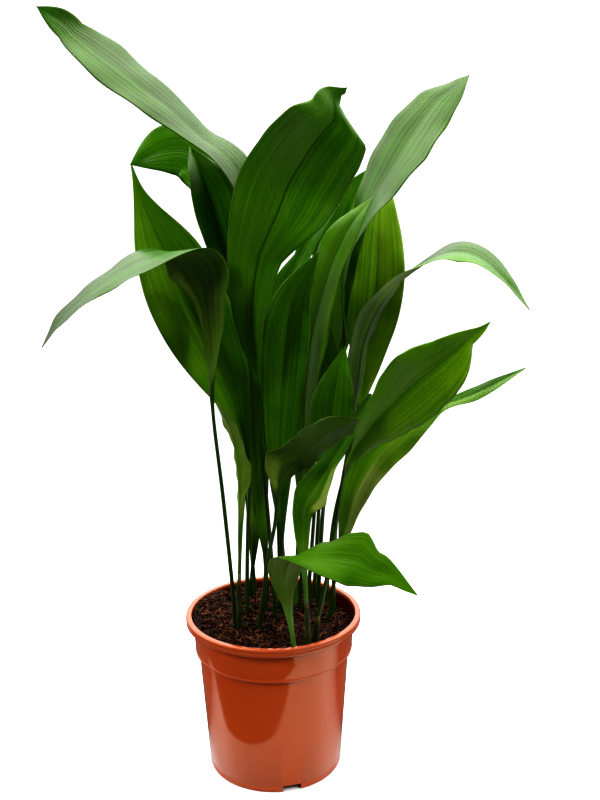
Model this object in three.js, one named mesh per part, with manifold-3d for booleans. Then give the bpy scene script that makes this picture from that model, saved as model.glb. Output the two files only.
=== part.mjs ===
// Potted cast iron plant (Aspidistra elatior) in a plastic nursery pot.
// Millimetres, +Z up. The origin is the centre of the pot's underside, and the front of the plant faces -Y.
import * as THREE from "three";
import { mergeVertices } from "three/addons/utils/BufferGeometryUtils.js";
import Module from "manifold-3d";

const wasm = await Module();
wasm.setup();

// ---------------------------------------------------------------- driving dimensions

const GAP = 0.3; // clearance between two pieces that touch
const TURN = 2 * Math.PI;

const POT_HEIGHT = 193;
const POT_WALL = 1.5;
const POT_SEGMENTS = 48;
const RIM_RADIUS = 105;
const RIM_INNER_RADIUS = 98.5;
const RIM_BAND = 9; // height of the turned-over lip
const COLLAR_TOP_RADIUS = 97.5;
const COLLAR_FOOT_RADIUS = 94.5;
const LEDGE_HEIGHT = 148; // the collar stands on this ledge
const WALL_TOP_RADIUS = 90.5;
const WALL_FOOT_RADIUS = 80.5;
const PAD_RADIUS = 30; // flat middle of the underside
const FOOT_RING_WIDTH = 5;
const BASE_LIFT = 4; // how far the base is raised between the pad and the foot ring
const DRAIN_HOLE_COUNT = 6;
const DRAIN_HOLE_RADIUS = 5;
const DRAIN_CIRCLE_RADIUS = 53;
const NOTCH_COUNT = 3;
const NOTCH_WIDTH = 22;
const NOTCH_HEIGHT = 8;
const NOTCH_DEPTH = 14;
const FIRST_NOTCH_ANGLE = -75; // degrees from +X, so a little to the right of the front

const SOIL_LEVEL = 183;
const SOIL_TILT = 9; // the surface is this much higher at the left and lower at the right
const SOIL_TILT_ANGLE = 210; // degrees from +X, towards the high side
const SOIL_MOUND = 4; // rise in the middle
const SOIL_RINGS = [0.2, 0.4, 0.6, 0.78, 0.92, 1];

const STALK_FOOT_RADIUS = 2.7;
const STALK_TOP_RADIUS = 1.9;
const STALK_DEPTH = 18; // how far a stalk goes down into the soil
const BLADE_THICKNESS = 1.2;
const FLARE = 12; // half width at which a stalk has thinned out to a blade
const SECTION_POINTS = 8; // points around a leaf's cross-section
const STEPS = 2; // cross-sections for each row of a leaf's table

const SHEATH_THICKNESS = 0.6;
const SHEATH_LIFT = 1.2; // above the soil
const SHEATH_ARC = 250; // degrees of the stalk that a sheath wraps at its foot

// ---------------------------------------------------------------- the leaves
// stalk: centre points from the soil up. blade: rows from the blade's base to its tip, each
// [x, y, z, half width, roll, fold]. With roll 0 the upper face looks at -Y, and a positive roll turns
// its right edge towards -Y. fold is how far both halves lift from flat, so the blade is a shallow V.

const LEAVES = [
  {
    name: "leaf_upper_left",
    stalk: [[16, 38, 187], [9, 36, 295], [-1, 30, 446], [-8, 24, 553]],
    blade: [[-13, 20, 610, 4, -80, 20], [-20, 16, 665, 24, -66, 15], [-38, 12, 713, 30, -60, 12],
      [-66, 8, 745, 34, -72, -4], [-102, 0, 776, 38, -64, -2], [-142, -10, 806, 42, -60, 2],
      [-182, -20, 838, 40, -59, 3], [-211, -25, 861, 25, -58, 5], [-232, -30, 875, 0, -55, 8]],
  },
  {
    name: "leaf_back_left",
    stalk: [[-25, 70, 184], [-33, 74, 310], [-41, 78, 435], [-51, 86, 545]],
    blade: [[-56, 92, 610, 4, -60, 20], [-62, 96, 680, 28, -45, 8], [-77, 98, 724, 38, -38, -4],
      [-98, 98, 740, 38, -36, -8], [-121, 96, 738, 35, -36, -8], [-141, 92, 728, 22, -36, -5],
      [-161, 86, 718, 0, -35, 0]],
  },
  {
    name: "leaf_left_upright",
    stalk: [[-8, 42, 187], [-13, 42, 293], [-19, 40, 395], [-24, 38, 460]],
    blade: [[-27, 36, 500, 4, -15, 45], [-38, 34, 576, 26, -20, 48], [-52, 34, 635, 38, -18, 45],
      [-66, 38, 681, 37, -21, 43], [-77, 42, 709, 24, -28, 42], [-87, 50, 736, 0, -28, 35]],
  },
  {
    name: "leaf_left_broad",
    stalk: [[-32, 2, 187], [-30, -2, 259], [-27, -6, 326]],
    blade: [[-25, -10, 365, 3, -15, 45], [-35, -12, 426, 13, -16, 50], [-53, -12, 482, 35, -14, 38],
      [-73, -12, 530, 45, -12, 28], [-94, -12, 581, 46, -9, 25], [-112, -12, 625, 38, -12, 26],
      [-127, -12, 661, 20, -6, 24], [-137, -14, 688, 7, -6, 24], [-144, -15, 718, 0, -6, 24]],
  },
  {
    name: "leaf_left_arching",
    stalk: [[-44, -33, 187], [-45, -41, 230], [-47, -48, 273], [-53, -56, 364], [-59, -60, 434]],
    blade: [[-61, -62, 475, 3, -125, 8], [-60, -64, 523, 14, -124, 6], [-62, -66, 566, 27, -124, 5],
      [-69, -68, 599, 36, -122, 4], [-80, -74, 619, 37, -110, 3], [-98, -84, 627, 37, -82, 3],
      [-123, -96, 620, 35, -72, 3], [-156, -108, 604, 28, -69, 2], [-185, -116, 583, 19, -70, 4],
      [-208, -120, 561, 14, -68, 6], [-225, -122, 538, 0, -68, 8]],
  },
  {
    name: "leaf_centre_tall",
    stalk: [[3, -10, 187], [0, -18, 256], [-5, -26, 343], [-9, -34, 415]],
    blade: [[-9, -38, 470, 3, 25, 45], [-9, -42, 541, 26, 28, 52], [-3, -45, 595, 42, 22, 50],
      [7, -47, 648, 55, 4, 40], [20, -48, 695, 60, -18, 22], [40, -48, 735, 61, -26, 27],
      [61, -46, 766, 46, -32, 32], [73, -45, 779, 17, -16, 24], [84, -44, 789, 0, -16, 20]],
  },
  {
    name: "leaf_upper_right",
    stalk: [[55, 46, 187], [60, 44, 291], [75, 42, 393], [85, 40, 467]],
    blade: [[88, 40, 520, 3, 90, 20], [90, 40, 574, 18, 88, 15], [98, 42, 619, 30, 84, 12],
      [115, 46, 659, 38, 72, 8], [138, 52, 700, 41, 53, 8], [161, 60, 740, 41, 45, 4],
      [187, 70, 773, 34, 42, 3], [210, 78, 795, 21, 40, 4], [233, 88, 814, 0, 40, 5]],
  },
  {
    name: "leaf_back_right",
    stalk: [[65, 52, 186], [75, 60, 285], [93, 66, 361]],
    blade: [[105, 70, 417, 3, 5, 45], [116, 80, 471, 23, 10, 45], [123, 92, 524, 38, 6, 39],
      [129, 104, 578, 42, 4, 37], [131, 118, 631, 34, 0, 36], [136, 132, 673, 18, 0, 36],
      [146, 146, 701, 0, 0, 30]],
  },
  {
    name: "leaf_right_arching",
    stalk: [[73, 18, 187], [75, 12, 284], [84, 4, 358]],
    blade: [[93, -2, 415, 3, 118, 10], [100, -4, 471, 16, 118, 10], [106, -4, 511, 28, 118, 10],
      [120, 0, 548, 36, 117, 10], [144, 4, 580, 36, 105, 8], [170, 6, 601, 32, 97, 6],
      [194, 4, 615, 30, 88, 5], [217, 0, 619, 30, 70, 4], [239, -8, 611, 26, 64, 4],
      [262, -18, 589, 17, 66, 6], [287, -28, 558, 0, 66, 8]],
  },
  {
    name: "leaf_right_broad",
    stalk: [[49, -66, 187], [54, -67, 220], [62, -68, 259], [71, -70, 315], [77, -72, 360]],
    blade: [[82, -73, 392, 3, -30, 45], [91, -74, 420, 20, -32, 48], [110, -76, 453, 38, -26, 44],
      [141, -78, 480, 44, -14, 32], [173, -78, 505, 41, -10, 31], [202, -76, 527, 25, -8, 34],
      [223, -73, 541, 8, -8, 34], [236, -70, 551, 0, -8, 30]],
  },
  {
    name: "leaf_right_narrow",
    stalk: [[69, 4, 187], [72, -4, 225], [78, -14, 255]],
    blade: [[80, -22, 280, 3, 36, 12], [86, -28, 308, 10, 40, 10], [92, -33, 340, 17, 42, 8],
      [102, -37, 369, 24, 44, 6], [116, -39, 395, 29, 46, 5], [137, -40, 419, 31, 48, 5],
      [160, -42, 439, 28, 50, 5], [180, -44, 451, 19, 56, 5], [199, -46, 458, 9, 64, 5],
      [222, -47, 466, 11, 66, 5], [246, -48, 478, 10, 66, 5], [280, -50, 497, 0, 66, 5]],
  },
  {
    name: "leaf_front_low",
    stalk: [[26, -83, 183], [24, -85, 197]],
    blade: [[22, -88, 214, 3, 178, 12], [19, -92, 240, 6, 172, 12], [16, -98, 266, 13, 168, 10],
      [18, -105, 290, 21, 160, 5], [25, -111, 305, 24, 140, 0], [36, -117, 311, 24, 95, -4],
      [50, -122, 311, 24, 67, 0], [69, -127, 311, 27, 47, 4], [90, -132, 310, 29, 30, 4],
      [109, -138, 303, 22, 21, 6], [130, -144, 294, 11, 20, 6], [154, -150, 278, 0, 19, 6]],
  },
  {
    name: "leaf_front_curled",
    stalk: [[-16, -46, 187], [-9, -56, 238], [-3, -68, 286], [6, -80, 332]],
    blade: [[9, -86, 368, 3, 160, 12], [12, -90, 386, 13, 166, 12], [16, -96, 399, 22, 163, 10],
      [23, -102, 408, 26, 156, 8], [34, -109, 416, 25, 152, 6], [45, -114, 426, 23, 152, 5],
      [56, -119, 438, 21, 152, 5], [67, -123, 448, 18, 152, 5], [79, -126, 455, 13, 152, 5],
      [95, -129, 461, 0, 152, 5]],
  },
  {
    name: "leaf_front_upright",
    stalk: [[41, -78, 187], [40, -78, 225]],
    blade: [[38, -78, 270, 3, 0, 20], [36, -79, 312, 8, 9, 20], [36, -80, 335, 11, 18, 20],
      [37, -81, 351, 14, 26, 18], [43, -82, 363, 17, 32, 16], [53, -84, 377, 15, 40, 14],
      [64, -87, 393, 12, 48, 12], [75, -90, 408, 9, 52, 10], [93, -96, 438, 0, 52, 10]],
  },
  {
    name: "leaf_left_small",
    stalk: [[-38, -44, 187], [-38, -48, 231], [-36, -52, 270]],
    blade: [[-35, -53, 305, 3, -118, 18], [-35, -52, 350, 11, -118, 19], [-36, -50, 385, 23, -116, 19],
      [-41, -47, 419, 19, -117, 12], [-50, -44, 444, 12, -118, 10], [-61, -42, 465, 0, -118, 8]],
  },
  {
    name: "leaf_centre_left",
    stalk: [[-11, 12, 187], [-10, 8, 228]],
    blade: [[-8, 6, 258, 3, 0, 25], [-12, 5, 303, 8, 0, 28], [-15, 5, 357, 14, 0, 30],
      [-18, 5, 416, 20, 5, 30], [-21, 5, 475, 26, 5, 30], [-24, 5, 533, 22, 5, 28],
      [-27, 5, 590, 0, 5, 25]],
  },
  {
    name: "leaf_centre_right",
    stalk: [[32, 22, 187], [35, 14, 250]],
    blade: [[36, 8, 288, 3, 55, 15], [37, 4, 356, 12, 56, 12], [40, 2, 417, 20, 58, 10],
      [44, 0, 476, 28, 58, 8], [52, -2, 534, 32, 58, 8], [66, -3, 590, 32, 58, 8],
      [87, -3, 639, 24, 56, 8], [114, -4, 675, 0, 56, 5]],
  },
  {
    name: "leaf_centre_inner",
    stalk: [[8, 30, 187], [7, 26, 300], [5, 22, 380]],
    blade: [[4, 20, 440, 3, 30, 25], [7, 18, 508, 20, 30, 25], [13, 18, 561, 26, 30, 25],
      [28, 18, 601, 22, 30, 22], [50, 20, 637, 14, 30, 20], [80, 22, 671, 0, 30, 15]],
  },
  {
    name: "leaf_back_upright",
    stalk: [[42, 42, 187], [48, 44, 265], [56, 50, 366]],
    blade: [[62, 54, 430, 4, 20, 25], [69, 60, 512, 22, 20, 25], [76, 68, 570, 29, 20, 25],
      [86, 78, 628, 32, 20, 22], [101, 90, 674, 24, 20, 20], [121, 102, 711, 0, 20, 15]],
  },
  {
    name: "leaf_inner_short",
    stalk: [[26, 42, 187], [31, 38, 274]],
    blade: [[36, 36, 315, 3, 10, 25], [44, 33, 388, 16, 10, 25], [52, 31, 449, 25, 10, 25],
      [58, 29, 496, 25, 10, 22], [60, 27, 531, 15, 10, 20], [57, 27, 559, 0, 10, 15]],
  },
  {
    name: "leaf_front_short",
    stalk: [[54, 28, 187], [58, 10, 274], [61, -14, 335]],
    blade: [[63, -28, 374, 3, 0, 25], [67, -42, 422, 21, 0, 25], [70, -48, 458, 26, 0, 22],
      [76, -50, 492, 16, 0, 22], [84, -50, 522, 0, 0, 20]],
  },
  {
    name: "leaf_centre_front",
    stalk: [[10, 2, 187], [11, -8, 252]],
    blade: [[12, -18, 292, 3, 10, 28], [12, -24, 353, 12, 10, 28], [13, -28, 413, 20, 10, 25],
      [16, -28, 471, 25, 8, 22], [20, -28, 527, 28, 5, 20], [30, -28, 577, 20, 5, 20],
      [56, -28, 622, 0, 5, 20]],
  },
  {
    name: "leaf_back_low",
    stalk: [[50, 70, 184], [56, 82, 277], [63, 94, 379]],
    blade: [[68, 100, 435, 4, -5, 25], [74, 112, 503, 24, -5, 22], [79, 126, 564, 30, -5, 20],
      [84, 144, 624, 24, -5, 20], [92, 166, 672, 0, -5, 15]],
  },
  {
    name: "leaf_left_inner",
    stalk: [[-31, 58, 187], [-28, 50, 217]],
    blade: [[-25, 42, 241, 3, -10, 20], [-21, 32, 283, 6, -10, 20], [-21, 29, 322, 10, -10, 20],
      [-23, 26, 374, 12, -10, 20], [-29, 24, 423, 10, -10, 18], [-40, 22, 466, 0, -10, 15]],
  },
];

// Leaves whose stalk keeps a sheath at its foot, with the sheath's height.
const SHEATHS = [
  { name: "sheath_left", leaf: "leaf_left_small", height: 72 },
  { name: "sheath_back_left", leaf: "leaf_left_inner", height: 30 },
  { name: "sheath_front", leaf: "leaf_front_upright", height: 58 },
  { name: "sheath_right", leaf: "leaf_right_broad", height: 34 },
];

// ---------------------------------------------------------------- colours and finishes

const PLASTIC = { color: "#b5502f", roughness: 0.32, metalness: 0 };
const COMPOST = { color: "#3a2618", roughness: 0.95, metalness: 0 };
const LEAF_GREEN = { color: "#2f6a26", roughness: 0.45, metalness: 0 };
const SHEATH_GREEN = { color: "#33482a", roughness: 0.7, metalness: 0 };

const plant = new THREE.Group();

function addPiece(name, geometry, finish) {
  const piece = new THREE.Mesh(geometry, new THREE.MeshStandardMaterial(finish));
  piece.name = name;
  plant.add(piece);
}

// ---------------------------------------------------------------- shared geometry

const radians = THREE.MathUtils.degToRad;
const TOWARDS_FRONT = new THREE.Vector3(0, -1, 0);

function toSolid(geometry) {
  const bare = geometry.clone();
  bare.deleteAttribute("normal");
  bare.deleteAttribute("uv");
  const merged = mergeVertices(bare, 1e-4);
  return new wasm.Manifold(
    new wasm.Mesh({
      numProp: 3,
      vertProperties: new Float32Array(merged.attributes.position.array),
      triVerts: new Uint32Array(merged.index.array),
    }),
  );
}

function toGeometry(solid) {
  const mesh = solid.getMesh();
  const geometry = new THREE.BufferGeometry();
  geometry.setAttribute("position", new THREE.BufferAttribute(mesh.vertProperties, 3));
  geometry.setIndex(new THREE.BufferAttribute(mesh.triVerts, 1));
  geometry.computeVertexNormals();
  return geometry;
}

function fromTriangles(points, triangles) {
  const geometry = new THREE.BufferGeometry().setFromPoints(points);
  geometry.setIndex(triangles.flat());
  geometry.computeVertexNormals();
  return geometry;
}

// A closed skin over rings of points, drawn together to one point at each end. The two halves of a ring are
// split along mirrored diagonals, so that the two faces of a thin twisted blade stay parallel.
function skinOverRings(rings, firstPoint, lastPoint) {
  const count = rings[0].length;
  const points = [...rings.flat(), firstPoint, lastPoint];
  const first = rings.length * count;
  const last = first + 1;
  const triangles = [];
  for (let side = 0; side < count; side += 1) {
    const next = (side + 1) % count;
    triangles.push([first, next, side]);
    for (let ring = 0; ring < rings.length - 1; ring += 1) {
      const low = ring * count;
      const high = low + count;
      if (side < count / 2) {
        triangles.push([low + side, low + next, high + next]);
        triangles.push([low + side, high + next, high + side]);
      } else {
        triangles.push([low + side, low + next, high + side]);
        triangles.push([low + next, high + next, high + side]);
      }
    }
    const top = (rings.length - 1) * count;
    triangles.push([top + side, top + next, last]);
  }
  return fromTriangles(points, triangles);
}

// A closed skin round two equal grids of points, one over the other.
function skinBetweenGrids(outer, inner) {
  const rows = outer.length;
  const columns = outer[0].length;
  const points = [...outer.flat(), ...inner.flat()];
  const out = (row, column) => row * columns + column;
  const into = (row, column) => rows * columns + out(row, column);
  const triangles = [];
  const quad = (a, b, c, d) => triangles.push([a, b, c], [a, c, d]);
  for (let row = 0; row < rows - 1; row += 1) {
    for (let column = 0; column < columns - 1; column += 1) {
      quad(out(row, column), out(row, column + 1), out(row + 1, column + 1), out(row + 1, column));
      quad(into(row, column), into(row + 1, column), into(row + 1, column + 1), into(row, column + 1));
    }
    const end = columns - 1;
    quad(out(row, 0), out(row + 1, 0), into(row + 1, 0), into(row, 0));
    quad(out(row, end), into(row, end), into(row + 1, end), out(row + 1, end));
  }
  for (let column = 0; column < columns - 1; column += 1) {
    const end = rows - 1;
    quad(out(0, column), into(0, column), into(0, column + 1), out(0, column + 1));
    quad(out(end, column), out(end, column + 1), into(end, column + 1), into(end, column));
  }
  return fromTriangles(points, triangles);
}

// ---------------------------------------------------------------- pot

// Radius of the pot's inner wall at a height above its floor.
function innerWallRadius(height) {
  const stops = [
    [0, WALL_FOOT_RADIUS - POT_WALL],
    [LEDGE_HEIGHT - POT_WALL, WALL_TOP_RADIUS - POT_WALL],
    [LEDGE_HEIGHT + POT_WALL, COLLAR_FOOT_RADIUS - POT_WALL],
    [POT_HEIGHT - RIM_BAND, COLLAR_TOP_RADIUS - POT_WALL],
    [POT_HEIGHT, RIM_INNER_RADIUS],
  ];
  const upper = stops.findIndex(([stop]) => Math.min(height, POT_HEIGHT) <= stop) || 1;
  const [lowHeight, lowRadius] = stops[upper - 1];
  const [highHeight, highRadius] = stops[upper];
  return THREE.MathUtils.mapLinear(height, lowHeight, highHeight, lowRadius, highRadius);
}

// The pot's section, as [radius, height]: the outside from the underside's middle up to the rim, then the
// inside back down to the middle of the floor.
function potSection() {
  const ringInner = WALL_FOOT_RADIUS - FOOT_RING_WIDTH;
  const bandFoot = POT_HEIGHT - RIM_BAND;
  const lipTop = POT_HEIGHT - POT_WALL;
  const floor = BASE_LIFT + POT_WALL;
  return [
    [0, 0],
    [PAD_RADIUS, 0],
    [PAD_RADIUS + BASE_LIFT, BASE_LIFT],
    [ringInner - 1, BASE_LIFT],
    [ringInner, 0],
    [WALL_FOOT_RADIUS - 1, 0],
    [WALL_FOOT_RADIUS, 1],
    [WALL_TOP_RADIUS, LEDGE_HEIGHT - 1],
    [COLLAR_FOOT_RADIUS - 1, LEDGE_HEIGHT - 0.4],
    [COLLAR_FOOT_RADIUS, LEDGE_HEIGHT + 0.6],
    [COLLAR_TOP_RADIUS, bandFoot],
    [RIM_INNER_RADIUS + POT_WALL, lipTop],
    [RIM_RADIUS - POT_WALL, lipTop],
    [RIM_RADIUS - POT_WALL, bandFoot],
    [RIM_RADIUS, bandFoot],
    [RIM_RADIUS, POT_HEIGHT - 1.6],
    [RIM_RADIUS - 0.5, POT_HEIGHT - 0.5],
    [RIM_RADIUS - 1.6, POT_HEIGHT],
    [RIM_INNER_RADIUS, POT_HEIGHT],
    [innerWallRadius(bandFoot), bandFoot],
    [COLLAR_FOOT_RADIUS - POT_WALL, LEDGE_HEIGHT + POT_WALL],
    [WALL_TOP_RADIUS - POT_WALL, LEDGE_HEIGHT - POT_WALL],
    [innerWallRadius(floor), floor],
    [PAD_RADIUS + BASE_LIFT - 1, floor],
    [PAD_RADIUS - 1, POT_WALL],
    [0, POT_WALL],
  ].map(([radius, height]) => new THREE.Vector2(radius, height));
}

function drainHole(angle) {
  const hole = new THREE.CylinderGeometry(DRAIN_HOLE_RADIUS, DRAIN_HOLE_RADIUS, NOTCH_HEIGHT * 2, 12);
  hole.rotateX(Math.PI / 2);
  hole.translate(DRAIN_CIRCLE_RADIUS, 0, BASE_LIFT);
  hole.rotateZ(angle);
  return hole;
}

function drainNotch(angle) {
  const notch = new THREE.BoxGeometry(NOTCH_DEPTH, NOTCH_WIDTH, NOTCH_HEIGHT * 2);
  notch.translate(WALL_FOOT_RADIUS, 0, 0);
  notch.rotateZ(angle);
  return notch;
}

function buildPot() {
  const shell = new THREE.LatheGeometry(potSection(), POT_SEGMENTS);
  shell.rotateX(Math.PI / 2);
  let pot = toSolid(shell);
  for (let hole = 0; hole < DRAIN_HOLE_COUNT; hole += 1) {
    pot = pot.subtract(toSolid(drainHole((hole * TURN) / DRAIN_HOLE_COUNT)));
  }
  for (let notch = 0; notch < NOTCH_COUNT; notch += 1) {
    const angle = radians(FIRST_NOTCH_ANGLE) + (notch * TURN) / NOTCH_COUNT;
    pot = pot.subtract(toSolid(drainNotch(angle)));
  }
  return toGeometry(pot);
}

// ---------------------------------------------------------------- leaves

// A leaf's rows as smooth curves: where its middle line runs, and its half width, roll and fold along it.
function leafCurves(leaf) {
  const stalk = leaf.stalk.map((point) => new THREE.Vector3(...point));
  const [foot, next] = stalk;
  const buried = foot.clone().sub(next).setLength(STALK_DEPTH).add(foot);
  const baseRoll = leaf.blade[0][4];
  const stalkForm = (_, row) => {
    const rise = row / stalk.length;
    return new THREE.Vector3(THREE.MathUtils.lerp(STALK_FOOT_RADIUS, STALK_TOP_RADIUS, rise), baseRoll, 0);
  };
  const path = [buried, ...stalk, ...leaf.blade.map(([x, y, z]) => new THREE.Vector3(x, y, z))];
  const form = [
    new THREE.Vector3(STALK_FOOT_RADIUS, baseRoll, 0),
    ...stalk.map(stalkForm),
    ...leaf.blade.map(([, , , halfWidth, roll, fold]) => new THREE.Vector3(halfWidth, roll, fold)),
  ];
  return {
    path: new THREE.CatmullRomCurve3(path, false, "catmullrom", 0.5),
    form: new THREE.CatmullRomCurve3(form, false, "catmullrom", 0.5),
    intervals: path.length - 1,
  };
}

// The cross-section of a leaf at t along it: round on the stalk, a thin V on the blade. clearance grows it.
function leafRing(curves, t, clearance) {
  const centre = curves.path.getPoint(t);
  const along = curves.path.getTangent(t);
  const { x: width, y: roll, z: fold } = curves.form.getPoint(t);
  const halfWidth = Math.max(width, 0.8) + clearance;
  const thinning = THREE.MathUtils.clamp((FLARE - halfWidth) / (FLARE - STALK_TOP_RADIUS), 0, 1);
  const halfThickness =
    THREE.MathUtils.lerp(BLADE_THICKNESS / 2, Math.min(halfWidth, STALK_FOOT_RADIUS), thinning) + clearance;
  const across = along.clone().cross(TOWARDS_FRONT).normalize();
  const face = across.clone().cross(along).normalize();
  const directionAt = (degrees) =>
    across
      .clone()
      .multiplyScalar(Math.cos(radians(degrees)))
      .addScaledVector(face, Math.sin(radians(degrees)));
  const rightEdge = directionAt(roll + fold);
  const leftEdge = directionAt(roll - fold).negate();
  const upperFace = directionAt(roll + 90);
  const ring = [];
  for (let point = 0; point < SECTION_POINTS; point += 1) {
    const turn = (-point / SECTION_POINTS) * TURN;
    const reach = Math.cos(turn) * halfWidth;
    const edge = reach >= 0 ? rightEdge : leftEdge;
    ring.push(
      centre
        .clone()
        .addScaledVector(edge, Math.abs(reach))
        .addScaledVector(upperFace, Math.sin(turn) * halfThickness),
    );
  }
  return ring;
}

function buildLeaf(leaf, clearance = 0, intervals = Infinity) {
  const curves = leafCurves(leaf);
  const last = Math.min(curves.intervals, intervals) * STEPS;
  const rings = [];
  for (let step = 0; step <= last; step += 1) {
    rings.push(leafRing(curves, Math.min(step / (curves.intervals * STEPS), 1), clearance));
  }
  const lastRing = rings[rings.length - 1];
  const start = curves.path.getPoint(0).addScaledVector(curves.path.getTangent(0), -1 - clearance);
  const end = lastRing
    .reduce((sum, point) => sum.add(point), new THREE.Vector3())
    .divideScalar(SECTION_POINTS)
    .addScaledVector(curves.path.getTangent(last / (curves.intervals * STEPS)), 2);
  return skinOverRings(rings, start, end);
}

// ---------------------------------------------------------------- soil

function soilHeight(x, y) {
  const spread = Math.hypot(x, y) / innerWallRadius(SOIL_LEVEL);
  const angle = Math.atan2(y, x);
  const tilt = SOIL_TILT * spread * Math.cos(angle - radians(SOIL_TILT_ANGLE));
  const mound = SOIL_MOUND * (1 - spread * spread);
  const lumps = 1.4 * Math.sin(0.11 * x + 1.3) * Math.cos(0.13 * y) + 0.9 * Math.sin(0.23 * x - 0.19 * y);
  return SOIL_LEVEL + tilt + mound + lumps;
}

function soilRing(radiusAt, heightAt) {
  const ring = [];
  for (let segment = 0; segment < POT_SEGMENTS; segment += 1) {
    const angle = (segment / POT_SEGMENTS) * TURN;
    const radius = radiusAt(angle);
    const x = radius * Math.cos(angle);
    const y = radius * Math.sin(angle);
    ring.push(new THREE.Vector3(x, y, heightAt(x, y)));
  }
  return ring;
}

function buildSoil() {
  const floor = BASE_LIFT + POT_WALL + GAP;
  const clearance = GAP + 0.2;
  const wallRing = (height) => soilRing(() => innerWallRadius(height) - clearance, () => height);
  const edgeHeight = (angle) => {
    const wall = innerWallRadius(SOIL_LEVEL) - clearance;
    return soilHeight(wall * Math.cos(angle), wall * Math.sin(angle));
  };
  const edgeRadius = (angle) => innerWallRadius(edgeHeight(angle)) - clearance;
  const neckHeight = (angle) => Math.min(edgeHeight(angle) - 3, POT_HEIGHT - RIM_BAND);
  const neckHeightAt = (x, y) => neckHeight(Math.atan2(y, x));
  const rings = [
    wallRing(floor),
    wallRing(LEDGE_HEIGHT - POT_WALL - 0.2),
    wallRing(LEDGE_HEIGHT + POT_WALL + 0.3),
    soilRing((angle) => innerWallRadius(neckHeight(angle)) - clearance, neckHeightAt),
    ...SOIL_RINGS.toReversed().map((share) => soilRing((angle) => share * edgeRadius(angle), soilHeight)),
  ];
  const bottom = new THREE.Vector3(0, 0, floor);
  const top = new THREE.Vector3(0, 0, soilHeight(0, 0));
  let soil = toSolid(skinOverRings(rings, bottom, top));
  for (const leaf of LEAVES) {
    soil = soil.subtract(toSolid(buildLeaf(leaf, GAP, 2)));
  }
  return toGeometry(soil);
}

// ---------------------------------------------------------------- sheaths

// A sleeve round the foot of a stalk that ends in a point at the front of the stalk.
function buildSheath({ leaf: leafName, height }) {
  const ROWS = 6;
  const COLUMNS = 8;
  const curves = leafCurves(LEAVES.find(({ name }) => name === leafName));
  const foot = curves.path.getPoint(1 / curves.intervals);
  const bottom = soilHeight(foot.x, foot.y) + SHEATH_LIFT;
  const outer = [];
  const inner = [];
  let t = 1 / curves.intervals;
  for (let row = 0; row <= ROWS; row += 1) {
    const rise = row / ROWS;
    while (curves.path.getPoint(t).z < bottom + rise * height) {
      t += 0.0005;
    }
    const centre = curves.path.getPoint(t);
    const arc = radians(SHEATH_ARC) * (1 - 0.85 * rise * rise);
    const radius = curves.form.getPoint(t).x + GAP + 0.3;
    const point = (column, reach) => {
      const angle = arc * (column / COLUMNS - 0.5) - Math.PI / 2;
      return centre.clone().add(new THREE.Vector3(Math.cos(angle) * reach, Math.sin(angle) * reach, 0));
    };
    const columns = [...Array(COLUMNS + 1).keys()];
    outer.push(columns.map((column) => point(column, radius + SHEATH_THICKNESS)));
    inner.push(columns.map((column) => point(column, radius)));
  }
  return skinBetweenGrids(outer, inner);
}

// ---------------------------------------------------------------- assembly

addPiece("pot", buildPot(), PLASTIC);
addPiece("soil", buildSoil(), COMPOST);
for (const leaf of LEAVES) {
  addPiece(leaf.name, buildLeaf(leaf), LEAF_GREEN);
}
for (const sheath of SHEATHS) {
  addPiece(sheath.name, buildSheath(sheath), SHEATH_GREEN);
}

export default plant;
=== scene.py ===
import math

import bmesh
import bpy
import numpy as np
from mathutils import Matrix, Vector, noise
from mathutils.bvhtree import BVHTree


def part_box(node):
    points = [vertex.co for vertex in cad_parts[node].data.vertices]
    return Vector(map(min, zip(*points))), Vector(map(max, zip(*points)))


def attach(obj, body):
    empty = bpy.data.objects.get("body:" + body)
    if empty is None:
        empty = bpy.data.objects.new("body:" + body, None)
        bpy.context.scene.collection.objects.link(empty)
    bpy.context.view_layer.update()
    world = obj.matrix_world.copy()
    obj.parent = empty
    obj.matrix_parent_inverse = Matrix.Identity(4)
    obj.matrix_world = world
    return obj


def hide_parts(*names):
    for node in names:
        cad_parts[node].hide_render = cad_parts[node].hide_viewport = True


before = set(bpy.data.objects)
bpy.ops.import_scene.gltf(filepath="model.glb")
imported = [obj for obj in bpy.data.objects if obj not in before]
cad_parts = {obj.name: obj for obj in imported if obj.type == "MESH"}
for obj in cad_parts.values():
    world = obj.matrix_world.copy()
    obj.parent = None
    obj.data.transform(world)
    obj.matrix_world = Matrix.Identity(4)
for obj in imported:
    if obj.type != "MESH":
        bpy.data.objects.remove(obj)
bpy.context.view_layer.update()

MM = 0.001
TURN = 2 * math.pi

# ---------------------------------------------------------------- small helpers


def select_none():
    bpy.ops.object.select_all(action="DESELECT")


def make_active(piece):
    select_none()
    piece.select_set(True)
    bpy.context.view_layer.objects.active = piece


def apply_modifier(piece, kind, **settings):
    make_active(piece)
    modifier = piece.modifiers.new(kind.title(), kind)
    for key, value in settings.items():
        setattr(modifier, key, value)
    bpy.ops.object.modifier_apply(modifier=modifier.name)


def smoothstep(low, high, x):
    t = np.clip((np.asarray(x, float) - low) / (high - low), 0, 1)
    return t * t * (3 - 2 * t)


def window(x, low, high, soft):
    """1 between low and high, easing to 0 over soft on either side."""
    return smoothstep(low - soft, low + soft, x) * (1 - smoothstep(high - soft, high + soft, x))


def finish_piece(piece, material, slot, *nodes):
    """Gives a piece its material, and says what it rides on and stands for."""
    piece.data.materials.clear()
    piece.data.materials.append(material)
    for polygon in piece.data.polygons:
        polygon.use_smooth = True
    if nodes:
        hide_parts(*nodes)
    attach(piece, "root")


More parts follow.
